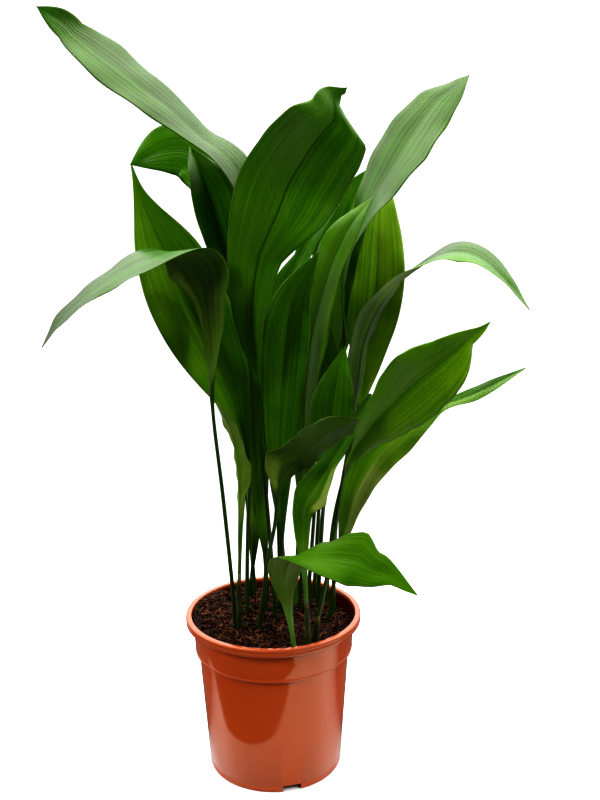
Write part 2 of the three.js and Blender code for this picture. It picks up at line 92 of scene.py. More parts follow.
def mesh_piece(name, points, faces):
    mesh = bpy.data.meshes.new(name)
    mesh.from_pydata([tuple(p) for p in points], [], faces)
    mesh.update()
    piece = bpy.data.objects.new(name, mesh)
    bpy.context.scene.collection.objects.link(piece)
    return piece


def point_attribute(piece, name, values):
    attribute = piece.data.attributes.new(name, "FLOAT", "POINT")
    attribute.data.foreach_set("value", np.asarray(values, np.float32).ravel())


# ---------------------------------------------------------------- materials


def colour(text):
    """An sRGB hex value as linear red, green, blue and alpha."""
    channels = [int(text[i : i + 2], 16) / 255 for i in (1, 3, 5)]
    return [c / 12.92 if c <= 0.04045 else ((c + 0.055) / 1.055) ** 2.4 for c in channels] + [1]


def add(tree, kind, inputs=None, **settings):
    """Adds a node, with its settings, and its inputs as values or as links from other nodes' outputs."""
    node = tree.nodes.new(kind)
    for key, value in settings.items():
        setattr(node, key, value)
    for key, value in (inputs or {}).items():
        if isinstance(value, bpy.types.NodeSocket):
            tree.links.new(value, node.inputs[key])
        else:
            node.inputs[key].default_value = value
    return node


def calc(tree, operation, *values):
    node = add(tree, "ShaderNodeMath", dict(enumerate(values)), operation=operation)
    return node.outputs[0]


def blend_colours(tree, share, first, second):
    node = tree.nodes.new("ShaderNodeMix")
    node.data_type = "RGBA"
    node.clamp_factor = True
    for socket, value in (("Factor_Float", share), ("A_Color", first), ("B_Color", second)):
        target = next(i for i in node.inputs if i.identifier == socket)
        if isinstance(value, bpy.types.NodeSocket):
            tree.links.new(value, target)
        else:
            target.default_value = value
    return next(o for o in node.outputs if o.identifier == "Result_Color")


def ramp(tree, share, *stops):
    """A colour ramp over share. Each stop is (place, hex colour)."""
    node = add(tree, "ShaderNodeValToRGB", {"Fac": share})
    elements = node.color_ramp.elements
    while len(elements) < len(stops):
        elements.new(0.5)
    for element, (place, text) in zip(elements, stops):
        element.position = place
        element.color = colour(text)
    return node.outputs["Color"]


def rescale(tree, value, from_low, from_high, to_low, to_high):
    node = add(
        tree,
        "ShaderNodeMapRange",
        {"Value": value, "From Min": from_low, "From Max": from_high, "To Min": to_low, "To Max": to_high},
    )
    return node.outputs["Result"]


def new_material(name):
    material = bpy.data.materials.new(name)
    material.use_nodes = True
    tree = material.node_tree
    tree.nodes.clear()
    output = tree.nodes.new("ShaderNodeOutputMaterial")
    return material, tree, output


def leaf_tissue():
    # Living leaf: a waxy green skin, satin above and duller below, lined along its length by the veins, with
    # painted light and shade in its tone, painted sheen patches and a painted highlight along its edges.
    material, tree, output = new_material("living_leaf_tissue")

    def value(name):
        return add(tree, "ShaderNodeAttribute", attribute_name=name).outputs["Fac"]

    half, along, across, edge, vein = (value(n) for n in ("half", "along", "across", "edge", "vein"))
    under, tone_and_painted_light, stalk, seed = (value(n) for n in ("under", "tone_and_painted_light", "stalk", "seed"))
    rib, stalk_tone_and_painted_light, spread = (value(n) for n in ("rib", "stalk_tone_and_painted_light", "spread"))

    def grain(breadth, length, detail):
        """Noise drawn out along the leaf: breadth and length say how often it changes each way."""
        spot_inputs = {
            "X": calc(tree, "MULTIPLY", half, breadth),
            "Y": calc(tree, "MULTIPLY", along, length),
            "Z": seed,
        }
        spot = add(tree, "ShaderNodeCombineXYZ", spot_inputs)
        noise_inputs = {"Vector": spot.outputs[0], "Scale": 1.0, "Detail": detail, "Roughness": 0.6}
        return add(tree, "ShaderNodeTexNoise", noise_inputs).outputs["Fac"]

    streaks = grain(24, 0.35, 3)
    dashes = grain(18, 1.6, 2)
    bands = grain(7, 0.4, 1)
    place = add(tree, "ShaderNodeTexCoord").outputs["Object"]
    clouds = add(tree, "ShaderNodeTexNoise", {"Vector": place, "Scale": 30.0, "Detail": 3}).outputs["Fac"]
    mottle = add(tree, "ShaderNodeTexNoise", {"Vector": place, "Scale": 800.0, "Detail": 2}).outputs["Fac"]
    wave = calc(tree, "MULTIPLY_ADD", calc(tree, "COSINE", calc(tree, "MULTIPLY", vein, TURN)), 0.5, 0.5)
    strength = calc(tree, "MULTIPLY", rescale(tree, grain(16, 0.3, 1), 0.35, 0.65, 0.15, 1.0), spread)
    line = calc(tree, "MULTIPLY", calc(tree, "POWER", wave, 3.0), strength)
    paler = calc(tree, "MULTIPLY", calc(tree, "POWER", calc(tree, "SUBTRACT", 1.0, wave), 4.0), strength)

    # The lightness starts from the tone, which carries painted light and shade set leaf by leaf.
    lightness = calc(tree, "ADD", tone_and_painted_light, rescale(tree, streaks, 0.3, 0.7, -0.15, 0.15))
    lightness = calc(tree, "ADD", lightness, rescale(tree, bands, 0.3, 0.7, -0.08, 0.08))
    lightness = calc(tree, "ADD", lightness, calc(tree, "MULTIPLY", paler, 0.10))
    lightness = calc(tree, "ADD", lightness, rescale(tree, clouds, 0.3, 0.7, -0.05, 0.05))
    lightness = calc(tree, "ADD", lightness, rescale(tree, mottle, 0.3, 0.7, -0.07, 0.07))
    above = ramp(tree, lightness, (0.0, "#1a3a03"), (0.3, "#396e05"), (0.6, "#59880b"), (1.0, "#90b428"))
    below = ramp(tree, lightness, (0.0, "#26400a"), (0.3, "#486c10"), (0.6, "#6c8a20"), (1.0, "#a4b85c"))
    skin = blend_colours(tree, under, above, below)
    skin = blend_colours(tree, calc(tree, "MULTIPLY", line, 0.42), skin, colour("#163004"))
    midrib = rescale(tree, across, 0.3 * MM, 1.5 * MM, 1, 0)
    skin = blend_colours(tree, calc(tree, "MULTIPLY", midrib, rib), skin, colour("#26340a"))
    # Painted highlight: a pale green line along the leaf's edges.
    painted_edge_highlight = rescale(tree, edge, 0.1 * MM, 0.8 * MM, 1, 0)
    skin = blend_colours(tree, calc(tree, "MULTIPLY", painted_edge_highlight, 0.5), skin, colour("#a2b56c"))
    # Stalks: the rind's lightness is set leaf by leaf as painted light and shade.
    bark = calc(tree, "ADD", rescale(tree, streaks, 0.35, 0.65, -0.2, 0.2), stalk_tone_and_painted_light)
    rind = ramp(tree, bark, (0.0, "#0b1a04"), (0.5, "#2c5212"), (1.0, "#5c8a30"))
    skin = blend_colours(tree, stalk, skin, rind)

    relief = calc(tree, "ADD", calc(tree, "MULTIPLY", line, -0.6), calc(tree, "MULTIPLY", streaks, 1.6))
    relief = calc(tree, "ADD", relief, calc(tree, "MULTIPLY", dashes, 2.2))
    relief = calc(tree, "MULTIPLY", relief, spread)
    bump = add(tree, "ShaderNodeBump", {"Height": relief, "Strength": 0.4, "Distance": 0.5 * MM})
    duller = calc(tree, "MULTIPLY", under, 0.12)
    roughness = calc(tree, "ADD", rescale(tree, streaks, 0.3, 0.7, 0.34, 0.46), duller)
    surface = add(
        tree,
        "ShaderNodeBsdfPrincipled",
        {
            "Base Color": skin,
            "Roughness": roughness,
            "IOR": 1.46,
            "Specular Tint": colour("#fff6d2"),
            "Normal": bump.outputs[0],
        },
    )
    glow = blend_colours(tree, 0.6, skin, colour("#86b81a"))
    through = add(tree, "ShaderNodeBsdfTranslucent", {"Color": glow})
    share = calc(tree, "MULTIPLY", calc(tree, "SUBTRACT", 1, stalk), 0.22)
    mix = add(tree, "ShaderNodeMixShader", {0: share, 1: surface.outputs[0], 2: through.outputs[0]})
    tree.links.new(mix.outputs[0], output.inputs["Surface"])
    return material


def dry_scale():
    # Dry sheath scale: papery, ribbed lengthwise, dark green going brown and pale at its torn edge.
    material, tree, output = new_material("dry_sheath_scale")
    place = add(tree, "ShaderNodeTexCoord").outputs["Object"]
    stretched = add(tree, "ShaderNodeMapping", {"Vector": place, "Scale": (900.0, 900.0, 60.0)}).outputs[0]
    fibres = add(tree, "ShaderNodeTexNoise", {"Vector": stretched, "Scale": 1.0, "Detail": 3}).outputs["Fac"]
    clouds = add(tree, "ShaderNodeTexNoise", {"Vector": place, "Scale": 90.0, "Detail": 2}).outputs["Fac"]
    rise = add(tree, "ShaderNodeAttribute", attribute_name="rise").outputs["Fac"]
    mixed = calc(tree, "ADD", calc(tree, "MULTIPLY", fibres, 0.5), calc(tree, "MULTIPLY", clouds, 0.5))
    body = ramp(tree, mixed, (0.3, "#141d0a"), (0.5, "#2b3a17"), (0.7, "#5c5a2c"))
    skin = blend_colours(tree, rescale(tree, rise, 0.8, 1.0, 0, 0.6), body, colour("#8d8a58"))
    bump = add(tree, "ShaderNodeBump", {"Height": fibres, "Strength": 0.6, "Distance": 0.3 * MM})
    surface = add(
        tree, "ShaderNodeBsdfPrincipled", {"Base Color": skin, "Roughness": 0.62, "Normal": bump.outputs[0]}
    )
    tree.links.new(surface.outputs[0], output.inputs["Surface"])
    return material


def pot_plastic():
    # Injection-moulded polypropylene: an even terracotta colour, glossy, with faint flow waves and dust; its
    # lip and inner wall are darkened as painted shade.
    material, tree, output = new_material("moulded_polypropylene")
    place = add(tree, "ShaderNodeTexCoord").outputs["Object"]
    clouds = add(tree, "ShaderNodeTexNoise", {"Vector": place, "Scale": 9.0, "Detail": 2}).outputs["Fac"]
    height = add(tree, "ShaderNodeSeparateXYZ", {"Vector": place}).outputs["Z"]
    specks = add(tree, "ShaderNodeTexVoronoi", {"Vector": place, "Scale": 210.0}).outputs["Distance"]
    rarity = add(tree, "ShaderNodeTexNoise", {"Vector": place, "Scale": 61.0, "Detail": 1}).outputs["Fac"]
    body = ramp(tree, clouds, (0.3, "#b24a1e"), (0.7, "#ba5226"))
    # Painted shade: the lip above 183 mm is coloured a darker brown, at up to half strength.
    top = rescale(tree, height, 0.183, 0.186, 0, 0.5)
    body = blend_colours(tree, top, body, colour("#94482c"))
    facing = add(tree, "ShaderNodeNewGeometry").outputs["Normal"]
    turned = add(tree, "ShaderNodeVectorMath", {0: facing, 1: place}, operation="DOT_PRODUCT")
    outward = turned.outputs["Value"]
    # Painted shade: the inner wall above 140 mm is coloured dark brown, standing in for the shade inside the
    # pot.
    inner = rescale(tree, outward, -0.03, 0.0, 1, 0)
    inside = calc(tree, "MULTIPLY", inner, rescale(tree, height, 0.14, 0.15, 0, 1))
    body = blend_colours(tree, inside, body, colour("#3c0e05"))
    speck = calc(
        tree,
        "MULTIPLY",
        rescale(tree, specks, 0.1, 0.16, 1, 0),
        rescale(tree, rarity, 0.53, 0.6, 0, 0.6),
    )
    body = blend_colours(tree, speck, body, colour("#5a2010"))
    waves = add(tree, "ShaderNodeTexNoise", {"Vector": place, "Scale": 28.0, "Detail": 2}).outputs["Fac"]
    grain = add(tree, "ShaderNodeTexNoise", {"Vector": place, "Scale": 1500.0, "Detail": 2}).outputs["Fac"]
    relief = calc(tree, "ADD", waves, calc(tree, "MULTIPLY", grain, 0.05))
    bump = add(tree, "ShaderNodeBump", {"Height": relief, "Strength": 0.25, "Distance": 0.5 * MM})
    roughness = rescale(tree, clouds, 0.3, 0.7, 0.09, 0.14)
    surface = add(
        tree,
        "ShaderNodeBsdfPrincipled",
        {
            "Base Color": body,
            "Roughness": roughness,
            "IOR": 1.49,
            "Specular Tint": colour("#ffe6c4"),
            "Normal": bump.outputs[0],
        },
    )
    tree.links.new(surface.outputs[0], output.inputs["Surface"])
    return material


def potting_mix(name, dark, middle, light):
    # Moist bark and peat: brown crumbs and a dull, grainy surface. A per-point lightness sets the colour: on
    # the soil it is painted shade, nearly black in the hollows and lighter on the lumps; on loose pieces it
    # is a random tint.
    material, tree, output = new_material(name)
    place = add(tree, "ShaderNodeTexCoord").outputs["Object"]
    tint_and_painted_shade = add(tree, "ShaderNodeAttribute", attribute_name="tint_and_painted_shade").outputs["Fac"]
    crumbs = add(tree, "ShaderNodeTexNoise", {"Vector": place, "Scale": 420.0, "Detail": 4}).outputs["Fac"]
    grit = add(tree, "ShaderNodeTexNoise", {"Vector": place, "Scale": 1600.0, "Detail": 3}).outputs["Fac"]
    mixed = calc(tree, "ADD", tint_and_painted_shade, rescale(tree, crumbs, 0.3, 0.7, -0.25, 0.25))
    body = ramp(tree, mixed, (0.1, dark), (0.5, middle), (0.95, light))
    relief = calc(tree, "ADD", crumbs, calc(tree, "MULTIPLY", grit, 0.5))
    bump = add(tree, "ShaderNodeBump", {"Height": relief, "Strength": 0.9, "Distance": 0.8 * MM})
    roughness = rescale(tree, grit, 0.3, 0.7, 0.6, 0.9)
    surface = add(
        tree,
        "ShaderNodeBsdfPrincipled",
        {"Base Color": body, "Roughness": roughness, "IOR": 1.25, "Normal": bump.outputs[0]},
    )
    tree.links.new(surface.outputs[0], output.inputs["Surface"])
    return material


# ---------------------------------------------------------------- leaves

VEIN_SPACING = 2.6 * MM  # between the long veins, at a blade's widest
PLEATS_PER_HALF = 5
COLUMNS = 44  # faces across a blade
STALK_STEP = 9 * MM
BLADE_STEP = 4 * MM
BLADE_START = 5 * MM  # half width at which the stalk has become a blade
FLARE = 12 * MM  # half width at which the blade is at its full thinness
STALK_RADIUS = 2.7 * MM
STALK_TOP_RADIUS = 1.9 * MM
TIP_LENGTH = 2 * MM
THICKNESS = 0.9 * MM
RINGS_POINTS = 8

# How each leaf differs from the plain one. Places along a blade run from 0 at its base to 1 at its tip.
# facing: where its upper face looks at its widest part. tone: lightness of its left and right half, its own
# colour with painted light and shade set leaf by leaf.
# far: what the tone changes by towards the tip, also painted light and shade. stem: lightness of its stalk,
# painted light and shade set leaf by leaf. rib: how dark its midrib shows.
# belly: how far each half swells from flat, as a share of its width. vee: how much it keeps of the packed
# model's V between its halves. tip: mm that its tip is carried by, easing in from its base.
# wave and waves: how high and how many ripples its margin has. settle: how much its edges are smoothed.
# nicks: bumps (+) and dents (-) of its margins, each (side, place, half length as a share, mm).
# twist: extra turns about its own line, each (place, degrees), easing from one to the next.
# pale: painted sheen, patches along a margin in the underside's paler colour and lightened, each (side,
# start, end, share of the half).
# sleek: the place from which its relief fades out.
FRONT, UP, BACK = (0, -1, 0), (0, 0, 1), (0, 1, 0)
PLAIN = {
    "facing": FRONT,
    "tone_and_painted_light": (0.32, 0.32),
    "far": 0.0,
    "stalk_tone_and_painted_light": 0.25,
    "rib": 0.3,
    "belly": 0.05,
    "vee": 0.8,
    "tip": (0, 0, 0),
    "wave": 1.4,
    "waves": 3.0,
    "settle": 2,
    "nicks": [],
    "twist": [],
    "painted_sheen": [],
    "sleek": 2.0,
}
LEAVES = {
    "leaf_upper_left": {
        "facing": UP,
        "tone_and_painted_light": (0.02, 0.02),
        "far": 0.12,
        "rib": 0.0,
        "wave": 0.8,
        "vee": 0.15,
        "belly": 0.01,
        "sleek": 0.55,
        "nicks": [("right", 0.875, 0.13, -15), ("right", 0.64, 0.26, -6), ("left", 0.9, 0.14, -13)],
        "twist": [(0.84, 0), (0.95, -25)],
    },
    "leaf_back_left": {
        "facing": UP,
        "tone_and_painted_light": (0.20, 0.30),
        "settle": 40,
        "vee": 0.3,
        "twist": [(0.3, 0), (0.5, -18), (1, -18)],
    },
    "leaf_left_upright": {"tone_and_painted_light": (0.10, 0.06), "far": 0.16},
    "leaf_left_broad": {"tone_and_painted_light": (0.48, 0.30), "far": 0.12, "vee": 0.5},
    "leaf_left_arching": {
        "facing": UP,
        "tone_and_painted_light": (0.40, 0.40),
        "far": -0.42,
        "belly": 0.02,
        "vee": 0.4,
        "painted_sheen": [("right", 0.16, 0.42, 0.45)],
        "sleek": 0.5,
        "twist": [(0.28, 0), (0.38, 38), (0.44, 28), (0.52, 0)],
        "nicks": [
            ("left", 0.18, 0.16, 5),
            ("right", 0.20, 0.18, 9),
            ("left", 0.70, 0.05, 3),
            ("left", 0.9, 0.05, 2),
        ],
    },
    "leaf_centre_tall": {
        "tone_and_painted_light": (0.38, 0.34),
        "far": -0.06,
        "rib": 0.9,
        "vee": 0.35,
        "nicks": [
            ("left", 0.74, 0.12, -4),
            ("left", 0.84, 0.04, 3),
            ("left", 0.90, 0.045, -10),
            ("left", 0.965, 0.03, 3),
            ("right", 0.42, 0.14, -15),
            ("right", 0.86, 0.08, 6),
            ("right", 0.9, 0.045, 8),
            ("right", 0.953, 0.03, -13),
            ("right", 0.975, 0.02, -5),
        ],
        "tip": (0, -30, 0),
    },
    "leaf_upper_right": {
        "facing": UP,
        "tone_and_painted_light": (0.14, 0.14),
        "rib": 0.1,
        "belly": 0.02,
        "vee": 0.25,
        "twist": [(0.35, 0), (0.55, -11)],
        "sleek": 0.45,
        "nicks": [("left", 0.86, 0.08, 5), ("left", 0.62, 0.3, 4), ("right", 0.62, 0.24, 12)],
    },
    "leaf_back_right": {"tone_and_painted_light": (0.62, 0.75), "vee": 0.3},
    "leaf_right_arching": {
        "facing": UP,
        "tone_and_painted_light": (-0.10, 0.03),
        "far": 0.35,
        "rib": 0.4,
        "painted_sheen": [("right", 0.42, 0.55, 2.2)],
        "sleek": 0.3,
    },
    "leaf_right_broad": {
        "tone_and_painted_light": (0.46, 0.54),
        "far": 0.10,
        "waves": 4.5,
        "vee": 0.5,
        "nicks": [("left", 0.56, 0.17, 9), ("left", 0.72, 0.04, -2), ("right", 0.87, 0.09, -8)],
    },
    "leaf_right_narrow": {
        "facing": UP,
        "tone_and_painted_light": (0.60, 0.86),
        "far": -0.45,
        "rib": 0.0,
        "vee": 1.8,
        "painted_sheen": [("right", -0.1, 0.34, 0.85)],
        "sleek": 0.4,
    },
    "leaf_front_low": {
        "facing": UP,
        "tone_and_painted_light": (0.44, 0.44),
        "rib": 0.1,
        "stalk_tone_and_painted_light": 1.0,
        "nicks": [
            ("left", 0.53, 0.14, -7),
            ("left", 0.68, 0.04, 4),
            ("left", 0.75, 0.06, -5),
            ("right", 0.87, 0.08, -3),
        ],
    },
    "leaf_front_curled": {
        "facing": BACK,
        "tone_and_painted_light": (0.16, 0.22),
        "rib": 0.1,
        "painted_sheen": [("right", -0.1, 0.26, 0.8)],
        "nicks": [
            ("right", 0.27, 0.04, 4),
            ("right", 0.36, 0.06, -4),
            ("right", 0.62, 0.18, 6),
            ("left", 0.50, 0.20, -8),
            ("left", 0.88, 0.10, 9),
        ],
    },
    "leaf_front_upright": {
        "tone_and_painted_light": (0.50, 0.62),
        "far": -0.45,
        "rib": 0.1,
        "stalk_tone_and_painted_light": 0.9,
        "tip": (16, 0, 41),
        "nicks": [("left", 0.85, 0.3, 6), ("right", 0.85, 0.3, 4), ("right", 0.48, 0.18, 10)],
        "painted_sheen": [("right", 0.36, 0.68, 0.45)],
    },
    "leaf_left_small": {"facing": UP, "tone_and_painted_light": (0.46, 0.62), "rib": 0.1, "stalk_tone_and_painted_light": 0.5},
    "leaf_centre_left": {"tone_and_painted_light": (0.46, 0.52)},
    "leaf_centre_right": {"tone_and_painted_light": (0.48, 0.46), "tip": (0, -20, 4)},
    "leaf_centre_inner": {
        "tone_and_painted_light": (0.24, 0.20),
        "nicks": [("left", 0.5, 0.2, -13), ("left", 0.7, 0.2, -14)],
        "painted_sheen": [("left", 0.84, 1.1, 0.9)],
    },
    "leaf_back_upright": {"tone_and_painted_light": (0.16, 0.34), "far": 0.1},
    "leaf_inner_short": {"tone_and_painted_light": (0.44, 0.66), "stalk_tone_and_painted_light": 0.8},
    "leaf_front_short": {"tone_and_painted_light": (0.24, 0.34)},
    "leaf_centre_front": {"tone_and_painted_light": (0.32, 0.26)},
    "leaf_back_low": {"tone_and_painted_light": (0.36, 0.36)},
    "leaf_left_inner": {"tone_and_painted_light": (0.60, 0.60)},
}


def node_rings(node):
    """The rings of points round a leaf, from its buried end to its tip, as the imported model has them."""
    skin = bmesh.new()
    skin.from_mesh(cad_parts[node].data)
    bmesh.ops.remove_doubles(skin, verts=skin.verts, dist=0.01 * MM)
    poles = [v for v in skin.verts if len(v.link_edges) == RINGS_POINTS]
    start = min(poles, key=lambda v: v.co.z)
    seen, layer, rings = {start}, [start], []
    while True:
        found = {edge.other_vert(v) for v in layer for edge in v.link_edges} - seen
        if len(found) < RINGS_POINTS:
            break
        seen |= found
        layer = [min(found, key=lambda v: v.index)]
        while len(layer) < RINGS_POINTS:
            beside = (edge.other_vert(layer[-1]) for edge in layer[-1].link_edges)
            layer.append(next(other for other in beside if other in found and other not in layer))
        rings.append([tuple(v.co) for v in layer])
    skin.free()
    rings = np.array(rings)
    centres = rings.mean(axis=1)
    for i, ring in enumerate(rings):
        ahead = centres[min(i + 1, len(rings) - 1)] - centres[max(i - 1, 0)]
        spokes = ring - centres[i]
        if np.cross(spokes, np.roll(spokes, -1, axis=0)).sum(axis=0) @ ahead < 0:
            ring = ring[::-1]
        if i:
            turned = [np.roll(ring, -k, axis=0) for k in range(RINGS_POINTS)]
            ring = min(turned, key=lambda r: np.linalg.norm(r - rings[i - 1], axis=1).sum())
        rings[i] = ring
    return rings


def unit(rows):
    return rows / np.linalg.norm(rows, axis=-1, keepdims=True)


def leaf_lines(node, facing):
    """A leaf's middle line, its two edges from there, and the way its upper face looks, ring by ring."""
    rings = node_rings(node)
    spans = np.linalg.norm(rings - np.roll(rings, RINGS_POINTS // 2, axis=1), axis=2)
    widest, corner = np.unravel_index(np.argmax(spans), spans.shape)
    rings = np.roll(rings, -(corner % (RINGS_POINTS // 2)), axis=1)
    if (rings[widest, 6] - rings[widest, 2]) @ np.array(facing) < 0:
        rings = np.roll(rings, RINGS_POINTS // 2, axis=1)
    middle = (rings[:, 2] + rings[:, 6]) / 2
    return middle, rings[:, 0] - middle, rings[:, 4] - middle, unit(rings[:, 6] - rings[:, 2])


def along_curve(values, places):
    """Values between rows, on a smooth curve through them."""
    last = len(values) - 1
    whole = np.clip(np.floor(places).astype(int), 0, last - 1)
    t = (places - whole)[:, None]
    a, b, c, d = (values[np.clip(whole + k, 0, last)] for k in (-1, 0, 1, 2))
    square = (2 * a - 5 * b + 4 * c - d) * t**2
    cube = (3 * b - a - 3 * c + d) * t**3
    return 0.5 * (2 * b + (c - a) * t + square + cube)


def settled(values, passes):
    for _ in range(passes):
        eased = (values[:-2] + 2 * values[1:-1] + values[2:]) / 4
        values = np.concatenate([values[:1], eased, values[-1:]])
    return values


def turned_about(rows, axes, angles):
    """Each row turned about its own axis, by Rodrigues' formula."""
    cos, sin = np.cos(angles)[:, None], np.sin(angles)[:, None]
    along = (rows * axes).sum(axis=1, keepdims=True) * axes
    return rows * cos + np.cross(axes, rows) * sin + along * (1 - cos)


def leaf_frame(node, traits):
    """A leaf's lines at close stations: place on the blade, middle, right, left, up, metres from the foot."""
    lines = leaf_lines(node, traits["facing"])
    middle, right = lines[:2]
    fine = np.linspace(0, len(middle) - 1, 40 * (len(middle) - 1) + 1)
    line = along_curve(middle, fine)
    lengths = np.concatenate([[0], np.cumsum(np.linalg.norm(np.diff(line, axis=0), axis=1))])
    reach = np.linalg.norm(along_curve(right, fine), axis=1)
    start = lengths[np.argmax(reach > BLADE_START)]
    total = lengths[-1]
    on_stalk = np.linspace(0, start, max(4, round(start / STALK_STEP)), endpoint=False)
    on_blade = np.linspace(start, total, round((total - start) / BLADE_STEP))
    stations = np.concatenate([on_stalk, on_blade])
    middle, right, left, up = (along_curve(v, np.interp(stations, lengths, fine)) for v in lines)
    blade = np.clip((stations - start) / (total - start), 0, 1)
    middle = middle + blade[:, None] ** 3 * np.array(traits["tip"]) * MM
    right = settled(middle + right, traits["settle"]) - middle
    left = settled(middle + left, traits["settle"]) - middle
    if traits["twist"]:
        ahead = unit(np.gradient(middle, axis=0))
        spots, degrees = zip(*traits["twist"])
        angles = np.radians(settled(np.interp(blade, spots, degrees)[:, None], 12)[:, 0])
        right, left, up = (turned_about(v, ahead, angles) for v in (right, left, up))
    for name, place, half_length, height in traits["nicks"]:
        peak = np.clip(1 - np.abs(blade - place) / half_length, 0, 1)[:, None] ** 1.3
        if name == "right":
            right = right + unit(right) * peak * height * MM
        else:
            left = left + unit(left) * peak * height * MM
    return blade, middle, right, left, unit(up), stations


def build_leaf(node, seed):
    traits = {**PLAIN, **LEAVES[node]}
    blade, middle, right, left, up, stations = leaf_frame(node, traits)
    width = (np.linalg.norm(right, axis=1) + np.linalg.norm(left, axis=1)) / 2
    spread = np.linspace(-1, 1, COLUMNS + 1)
    u = np.sign(spread) * (np.exp(0.9 * np.abs(spread)) - 1) / (math.e**0.9 - 1)
    side = np.minimum(np.abs(u), 1)[None]
    leafy = smoothstep(6 * MM, 16 * MM, width)[:, None]
    breadth = width[:, None]
    rounding = 0.04
    lift = np.sqrt(side**2 + rounding**2) - rounding
    across = (right - left) / 2
    fold = (right + left) / 2
    lift = 1 - (1 - lift) * traits["vee"]
    flat = middle[:, None] + across[:, None] * u[None, :, None] + fold[:, None] * lift[..., None]

    phase = seed * 1.7
    swell = traits["belly"] * breadth * np.sin(math.pi * side)
    pleats = 0.09 * MM * np.cos(TURN * PLEATS_PER_HALF * side) * (1 - side**6)
    rolls = np.sin(TURN * (blade * 1.6)[:, None] + 2.3 * side + phase) * 0.7 * MM
    wobble = np.sin(TURN * 5.3 * blade[:, None] + 4.1 * u[None] + 2 * phase) * 0.25 * MM
    ripples = []
    for shift in (0.0, 2.1):
        wave = np.sin(TURN * traits["waves"] * blade + phase + shift)
        wave += 0.6 * np.sin(TURN * 2.3 * traits["waves"] * blade + 2.7 * phase + shift)
        ripples.append(wave[:, None] * np.sin(math.pi * blade)[:, None] ** 0.5)
    ripple = np.where(u[None] < 0, *ripples) * side**3 * traits["wave"] * MM
    surface = flat + up[:, None] * ((swell + pleats + rolls + wobble + ripple) * leafy)[..., None]

    thinning = np.clip((FLARE - width) / (FLARE - STALK_TOP_RADIUS), 0, 1)[:, None]
    thinning = thinning * (1 - smoothstep(0.3, 0.6, blade))[:, None]
    blade_half = THICKNESS / 2 * (1 - 0.3 * side**2) * np.sqrt(1 - side**12)
    stalk_half = np.minimum(breadth, STALK_RADIUS) * np.sqrt(1 - side**2)
    half = np.minimum(blade_half, stalk_half) * (1 - thinning) + stalk_half * thinning
    offset = side * breadth
    fade = (1 - blade)[:, None]
    keel = 1.5 * MM * (0.08 + 0.92 * fade**1.5) * np.exp(-((offset / (1.5 * MM)) ** 2)) * leafy
    groove = 0.4 * MM * (0.2 + 0.8 * fade) * np.exp(-((offset / (1.2 * MM)) ** 2)) * leafy
    upper = surface + up[:, None] * (half - groove)[..., None]
    under = surface - up[:, None] * (half + keel)[..., None]

    # Round the leaf: under it from the right edge to the left one, and back along the upper face.
    rounds = np.concatenate([under[:, ::-1], upper[:, 1:-1]], axis=1)
    rows, count = rounds.shape[:2]
    ahead = unit(np.gradient(middle, axis=0))
    ends = [middle[0] - ahead[0] * MM, middle[-1] + ahead[-1] * TIP_LENGTH]
    points = np.concatenate([rounds.reshape(-1, 3), ends])
    first, last = rows * count, rows * count + 1
    faces = []
    for k in range(count):
        n = (k + 1) % count
        faces.append((first, n, k))
        starts = range(0, first - count, count)
        faces.extend((row + k, row + n, row + count + n, row + count + k) for row in starts)
        faces.append((first - count + k, first - count + n, last))
    piece = mesh_piece(node.replace("leaf_", "living_leaf_"), points, faces)

    def per_point(name, grid, ends):
        grid = np.broadcast_to(grid, (rows, COLUMNS + 1))
        ring = np.concatenate([grid[:, ::-1], grid[:, 1:-1]], axis=1)
        point_attribute(piece, name, np.concatenate([ring.ravel(), ends]))

    # Painted sheen: patches along a margin that take the underside's colour and a lighter tone.
    painted_sheen = np.zeros((rows, COLUMNS + 1))
    for name, low, high, share in traits["painted_sheen"]:
        beyond = u * (1 if name == "right" else -1) - (1 - share)
        painted_sheen += window(blade, low, high, 0.05)[:, None] * smoothstep(-0.06, 0.06, beyond)[None]
    # Painted light and shade: each half's tone, its change towards the tip, and the lighter painted sheen
    # patches.
    tone_and_painted_light = traits["tone_and_painted_light"][0] + (traits["tone_and_painted_light"][1] - traits["tone_and_painted_light"][0]) * smoothstep(-0.2, 0.2, u)[None]
    tone_and_painted_light = tone_and_painted_light + traits["far"] * blade[:, None] + 0.45 * painted_sheen
    clear = 20 * MM * (1 - leafy)
    open_blade = smoothstep(0.1, 0.6, width / width.max())[:, None]
    sleek = smoothstep(traits["sleek"] - 0.1, traits["sleek"] + 0.1, blade)
    open_blade = open_blade * (1 - 0.85 * sleek)[:, None]
    narrow = (1 - smoothstep(4 * MM, 9 * MM, width)) * (1 - smoothstep(0.1, 0.3, blade))
    below = np.concatenate([np.ones((rows, COLUMNS + 1)), painted_sheen[:, 1:-1]], axis=1)
    below[:, [0, COLUMNS]] = 0.5
    point_attribute(piece, "under", np.concatenate([below.ravel(), [0.5, 0.5]]))
    per_point("half", u[None], [0, 0])
    per_point("along", stations[:, None] * 9, [0, stations[-1] * 9])
    per_point("across", offset + clear, [0.02, 0.02])
    per_point("edge", (1 - side) * breadth + clear, [0.02, 0.02])
    per_point("vein", u[None] * width.max() / VEIN_SPACING, [0, 0])
    per_point("tone_and_painted_light", tone_and_painted_light, [0.3, tone_and_painted_light[-1].mean()])
    per_point("stalk", narrow[:, None], [1, 0])
    per_point("spread", open_blade, [0, 0])
    for name, value in (("seed", seed * 13.7), ("rib", traits["rib"]), ("stalk_tone_and_painted_light", traits["stalk_tone_and_painted_light"])):
        point_attribute(piece, name, np.full(len(points), value))
    return piece


# ---------------------------------------------------------------- sheaths


ROUGHENING_SEED = 3  # the same torn edges on every run


